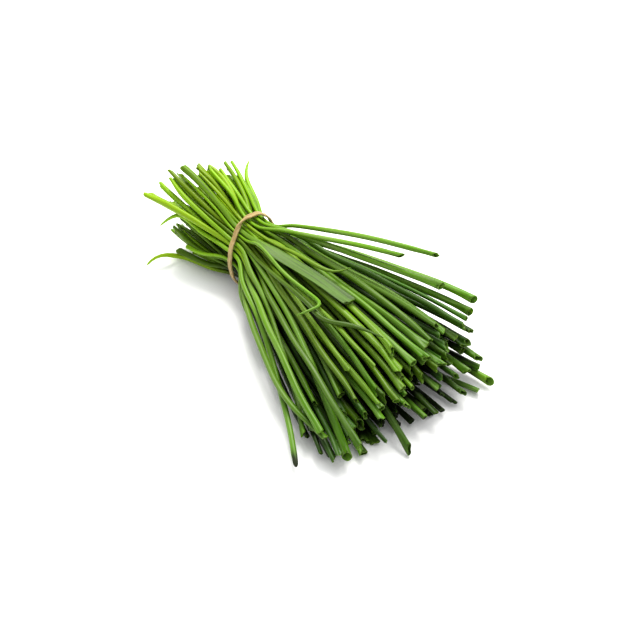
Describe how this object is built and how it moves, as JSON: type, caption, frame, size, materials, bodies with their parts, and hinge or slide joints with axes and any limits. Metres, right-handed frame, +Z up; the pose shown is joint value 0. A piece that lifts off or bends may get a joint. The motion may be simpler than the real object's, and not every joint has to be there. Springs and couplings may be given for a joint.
{
  "type": "chive bunch",
  "caption": "Bunch of cut chives lying down, tied round the waist with a rubber band, leaves fanning out low at the long end.",
  "frame": {"origin": "on the surface the bunch lies on, at the middle of the band's flat underside", "axes": "+X along the bunch to the long fanned end, +Z up from the surface, +Y across"},
  "size_m": [0.1709, 0.1012, 0.0516],
  "materials": {
    "leaf_green": "satin waxy leaf, hollow, mid green with fine lengthwise veins",
    "leaf_bright": "satin waxy leaf, hollow, yellow green with fine lengthwise veins",
    "leaf_deep": "satin waxy leaf, hollow, deep green with fine lengthwise veins",
    "leaf_bluish": "matte bloom on a broad flat blue-green leaf",
    "band_rubber": "matte tan latex"
  },
  "bodies": {
    "root": {"leaf_arch_1": "leaf_green", "leaf_arch_2": "leaf_green", "leaf_arch_3": "leaf_green", "leaf_broad": "leaf_bluish", "leaf_corner": "leaf_bright", "leaf_curl_1": "leaf_green", "leaf_curl_2": "leaf_green", "leaf_far_1": "leaf_green", "leaf_far_2": "leaf_green", "leaf_far_3": "leaf_green", "leaf_hooked": "leaf_bright", "leaf_middle": "leaf_green", "leaf_near_1": "leaf_green", "leaf_near_2": "leaf_green", "leaf_near_3": "leaf_green", "leaf_near_4": "leaf_green", "leaf_stray": "leaf_bright", "leaf_thick": "leaf_bright", "rubber_band": "band_rubber", "tuft_01": "leaf_green", "tuft_02": "leaf_deep", "tuft_03": "leaf_green", "tuft_04": "leaf_bright", "tuft_05": "leaf_green", "tuft_06": "leaf_deep", "tuft_07": "leaf_green", "tuft_08": "leaf_bright", "tuft_09": "leaf_green", "tuft_10": "leaf_deep", "tuft_11": "leaf_green", "tuft_12": "leaf_bright", "tuft_13": "leaf_green", "tuft_14": "leaf_deep", "tuft_15": "leaf_green", "tuft_16": "leaf_bright", "tuft_17": "leaf_green", "tuft_18": "leaf_deep", "tuft_19": "leaf_green", "tuft_20": "leaf_bright", "tuft_21": "leaf_green", "tuft_22": "leaf_deep", "tuft_23": "leaf_green", "tuft_24": "leaf_bright", "tuft_25": "leaf_green", "tuft_26": "leaf_deep", "tuft_27": "leaf_green", "tuft_28": "leaf_bright", "tuft_29": "leaf_green", "tuft_30": "leaf_deep"}
  },
  "joints": []
}
